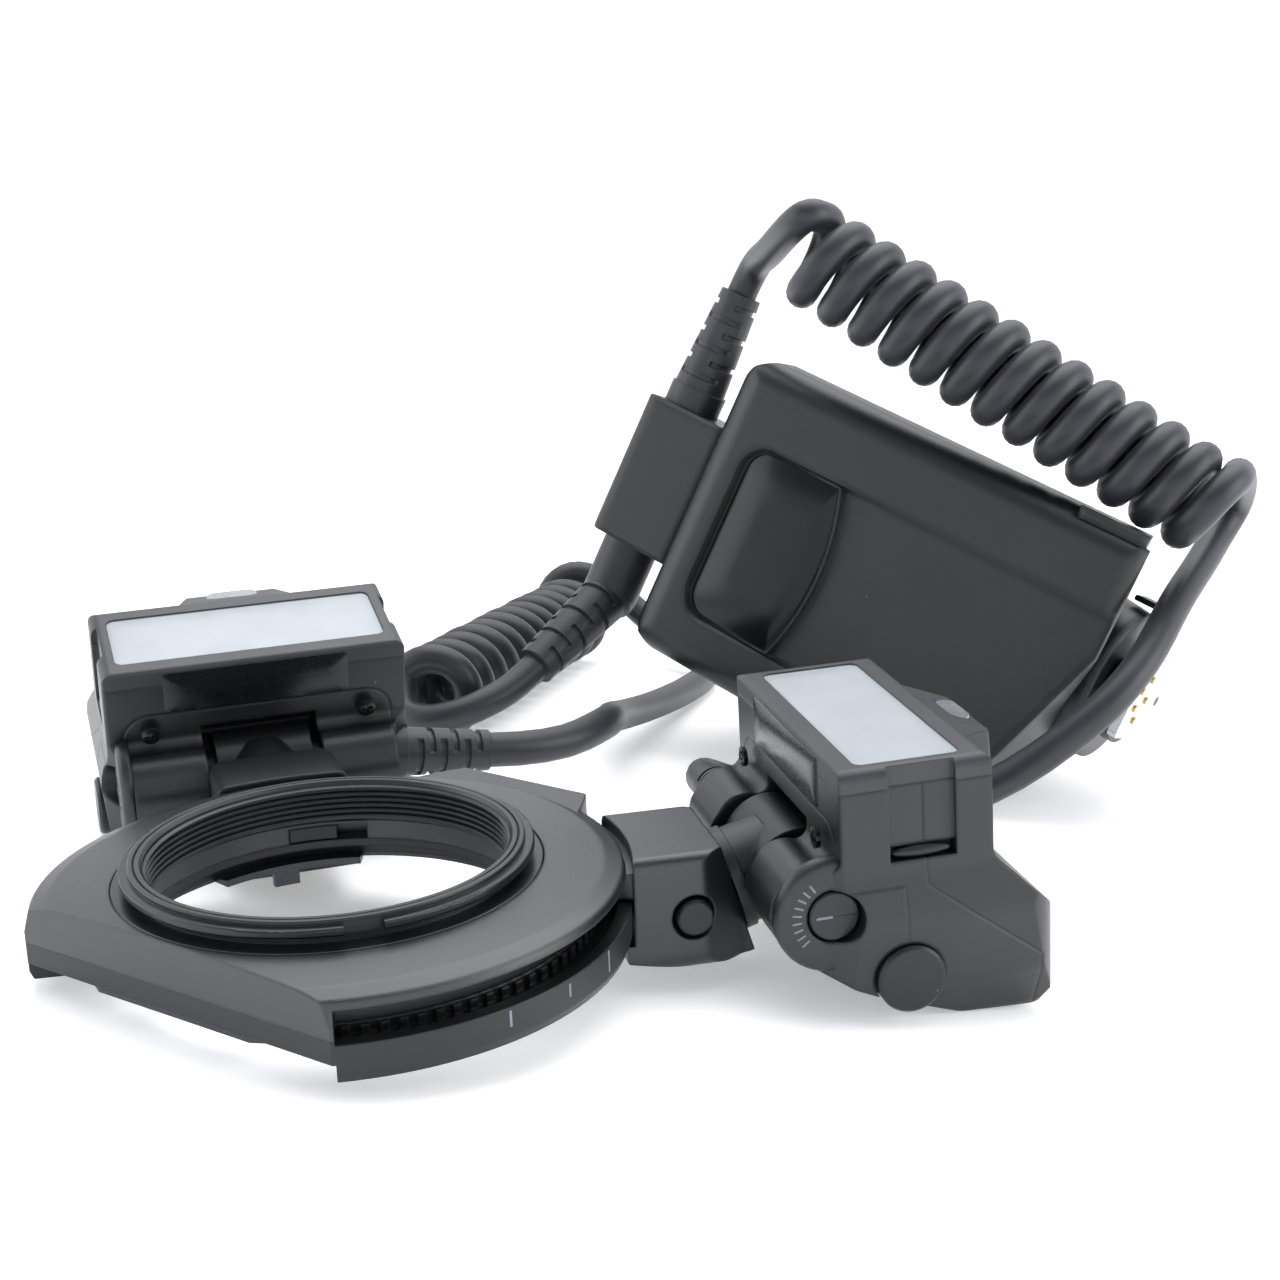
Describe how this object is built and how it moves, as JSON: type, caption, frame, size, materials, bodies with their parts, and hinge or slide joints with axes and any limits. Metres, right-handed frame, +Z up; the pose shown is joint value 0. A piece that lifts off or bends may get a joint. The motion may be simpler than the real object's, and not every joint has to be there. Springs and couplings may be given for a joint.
{
  "type": "macro twin flash",
  "caption": "Macro flash: two small tilting flash heads on arms that slide round a lens ring, joined by curly cords to a shoe-mounted control unit.",
  "frame": {"origin": "middle of the box that holds all but the cords, on the table", "axes": "+Z up, -Y towards the viewer of the picture, +X to the viewer's right"},
  "size_m": [0.2465, 0.3178, 0.1278],
  "materials": {
    "grey_plastic": "fine moulded grain",
    "black_plastic": "fine moulded grain",
    "collar_plastic": "turned edge",
    "spring_steel": "dark stamped steel",
    "pin_steel": "turned",
    "bezel_plastic": "light grey, satin",
    "head_plastic": "fine moulded grain",
    "frosted_window": "ribbed, milky",
    "bright_reflector": "vacuum coated",
    "clear_lens": "clear",
    "rubber": "matt",
    "body_plastic": "fine grain",
    "gloss_black": "polished, bare",
    "key_rubber": "matt",
    "foot_steel": "bright",
    "contact_gold": "plated",
    "display_glass": "smoked"
  },
  "bodies": {
    "base": {"ring_front_cover": "grey_plastic", "ring_back_cover": "black_plastic", "ring_filter_collar": "collar_plastic", "ring_claw_plate": "spring_steel", "controller_front_cover": "body_plastic", "controller_back_cover": "body_plastic", "name_panel": "gloss_black", "cable_block": "body_plastic", "upper_boot": "rubber", "lower_boot": "rubber", "foot_base": "body_plastic", "foot_plate": "foot_steel", "contact_pins": "contact_gold", "display_window": "display_glass", "right_cord_coil": "rubber", "right_cord_lead": "rubber", "left_cord_coil": "rubber", "left_cord_lead": "rubber"},
    "ring_latch": {"ring_release_latch": "black_plastic"},
    "right_arm": {"right_arm_block": "grey_plastic"},
    "right_arm_catch": {"right_arm_button": "black_plastic"},
    "right_swivel": {"right_knuckle": "black_plastic", "right_hinge_pin": "pin_steel"},
    "right_head": {"right_front_bezel": "bezel_plastic", "right_outer_shell": "head_plastic", "right_body_shell": "head_plastic", "right_yoke_shell": "head_plastic", "right_flash_window": "frosted_window", "right_reflector": "bright_reflector", "right_lamp_lens": "clear_lens", "right_cord_boot": "rubber"},
    "right_tilt_catch": {"right_tilt_button": "black_plastic"},
    "left_arm": {"left_arm_block": "grey_plastic"},
    "left_arm_catch": {"left_arm_button": "black_plastic"},
    "left_swivel": {"left_knuckle": "black_plastic", "left_hinge_pin": "pin_steel"},
    "left_head": {"left_front_bezel": "bezel_plastic", "left_outer_shell": "head_plastic", "left_body_shell": "head_plastic", "left_yoke_shell": "head_plastic", "left_flash_window": "frosted_window", "left_reflector": "bright_reflector", "left_lamp_lens": "clear_lens", "left_cord_boot": "rubber"},
    "left_tilt_catch": {"left_tilt_button": "black_plastic"},
    "key_1": {"function_key_1": "key_rubber"},
    "key_2": {"function_key_2": "key_rubber"},
    "key_3": {"function_key_3": "key_rubber"},
    "key_4": {"function_key_4": "key_rubber"},
    "set_key": {"set_button": "key_rubber"},
    "test_key": {"test_button": "key_rubber"},
    "dial": {"select_dial": "black_plastic"},
    "switch": {"power_switch": "black_plastic"},
    "terminal_lid": {"terminal_cover": "body_plastic"},
    "battery_lid": {"battery_door": "body_plastic"},
    "foot_lever": {"lock_lever": "black_plastic"},
    "foot_pin": {"lock_pin": "pin_steel"}
  },
  "joints": [
    {"name": "right_arm_slide", "type": "hinge", "parent": "base", "child": "right_arm", "pos_m": [-0.05098, -0.0816, 0.00612], "axis": [-0.0798, -0.0795, 0.9936], "range_deg": [-80, 3.5], "deforming": ["right_cord_coil", "right_cord_lead"]},
    {"name": "right_arm_button_press", "type": "slide", "parent": "right_arm", "child": "right_arm_catch", "axis": [-0.2392, 0.9692, 0.0584], "range_m": [0, 0.0012], "stiffness_N_per_m": 400, "springref_m": -0.0008},
    {"name": "right_head_swivel", "type": "hinge", "parent": "right_arm", "child": "right_swivel", "pos_m": [0.02158, -0.06451, 0.01966], "axis": [0.9021, 0.1996, 0.3827], "range_deg": [-42, 42]},
    {"name": "right_head_tilt", "type": "hinge", "parent": "right_swivel", "child": "right_head", "pos_m": [0.02158, -0.06451, 0.01966], "axis": [0.2392, -0.9692, -0.0584], "range_deg": [-30, 54]},
    {"name": "right_tilt_button_press", "type": "slide", "parent": "right_head", "child": "right_tilt_catch", "axis": [-0.2392, 0.9692, 0.0584], "range_m": [0, 0.0012], "stiffness_N_per_m": 400, "springref_m": -0.0008},
    {"name": "left_arm_slide", "type": "hinge", "parent": "base", "child": "left_arm", "pos_m": [-0.05098, -0.0816, 0.00612], "axis": [-0.0798, -0.0795, 0.9936], "range_deg": [-16, 68], "deforming": ["left_cord_coil", "left_cord_lead"]},
    {"name": "left_arm_button_press", "type": "slide", "parent": "left_arm", "child": "left_arm_catch", "axis": [0.9437, 0.3149, 0.101], "range_m": [0, 0.0012], "stiffness_N_per_m": 400, "springref_m": -0.0008},
    {"name": "left_head_swivel", "type": "hinge", "parent": "left_arm", "child": "left_swivel", "pos_m": [-0.07571, -0.0107, 0.01615], "axis": [-0.3303, 0.8812, 0.3383], "range_deg": [-42, 42]},
    {"name": "left_head_tilt", "type": "hinge", "parent": "left_swivel", "child": "left_head", "pos_m": [-0.07571, -0.0107, 0.01615], "axis": [0.9437, 0.3149, 0.101], "range_deg": [-44, 41]},
    {"name": "left_tilt_button_press", "type": "slide", "parent": "left_head", "child": "left_tilt_catch", "axis": [0.9437, 0.3149, 0.101], "range_m": [0, 0.0012], "stiffness_N_per_m": 400, "springref_m": -0.0008},
    {"name": "ring_latch_turn", "type": "hinge", "parent": "base", "child": "ring_latch", "pos_m": [-0.05098, -0.0816, 0.00612], "axis": [-0.0798, -0.0795, 0.9936], "range_deg": [-7, 0], "stiffness_Nm_per_rad": 0.05, "springref_deg": 2.86},
    {"name": "key_1_press", "type": "slide", "parent": "base", "child": "key_1", "axis": [-0.5114, -0.8373, 0.1935], "range_m": [0, 0.0006], "stiffness_N_per_m": 300, "springref_m": -0.0008},
    {"name": "key_2_press", "type": "slide", "parent": "base", "child": "key_2", "axis": [-0.5114, -0.8373, 0.1935], "range_m": [0, 0.0006], "stiffness_N_per_m": 300, "springref_m": -0.0008},
    {"name": "key_3_press", "type": "slide", "parent": "base", "child": "key_3", "axis": [-0.5114, -0.8373, 0.1935], "range_m": [0, 0.0006], "stiffness_N_per_m": 300, "springref_m": -0.0008},
    {"name": "key_4_press", "type": "slide", "parent": "base", "child": "key_4", "axis": [-0.5114, -0.8373, 0.1935], "range_m": [0, 0.0006], "stiffness_N_per_m": 300, "springref_m": -0.0008},
    {"name": "set_key_press", "type": "slide", "parent": "base", "child": "set_key", "axis": [-0.5114, -0.8373, 0.1935], "range_m": [0, 0.0006], "stiffness_N_per_m": 300, "springref_m": -0.0008},
    {"name": "test_key_press", "type": "slide", "parent": "base", "child": "test_key", "axis": [-0.5114, -0.8373, 0.1935], "range_m": [0, 0.0006], "stiffness_N_per_m": 300, "springref_m": -0.0008},
    {"name": "dial_turn", "type": "hinge", "parent": "base", "child": "dial", "pos_m": [0.08156, 0.10559, 0.03142], "axis": [0.5114, 0.8373, -0.1935], "continuous": true},
    {"name": "switch_turn", "type": "hinge", "parent": "base", "child": "switch", "pos_m": [0.09701, 0.09762, 0.03776], "axis": [0.5114, 0.8373, -0.1935], "range_deg": [0, 50]},
    {"name": "terminal_lid_hinge", "type": "hinge", "parent": "base", "child": "terminal_lid", "pos_m": [0.10222, 0.05838, 0.0626], "axis": [-0.5114, -0.8373, 0.1935], "range_deg": [0, 95]},
    {"name": "battery_lid_hinge", "type": "hinge", "parent": "base", "child": "battery_lid", "pos_m": [0.0099, 0.07851, 0.01942], "axis": [0.5895, 0.8051, 0.0659], "range_deg": [0, 100]},
    {"name": "foot_lever_turn", "type": "hinge", "parent": "base", "child": "foot_lever", "pos_m": [0.10717, 0.04648, 0.02421], "axis": [-0.7806, 0.5468, 0.3028], "range_deg": [0, 35]},
    {"name": "foot_pin_slide", "type": "slide", "parent": "base", "child": "foot_pin", "axis": [0.7806, -0.5468, -0.3028], "range_m": [0, 0.0016]}
  ],
  "couplings": [
    {"joint": "foot_pin_slide", "follows": "foot_lever_turn", "m_per_rad": 0.002618}
  ]
}
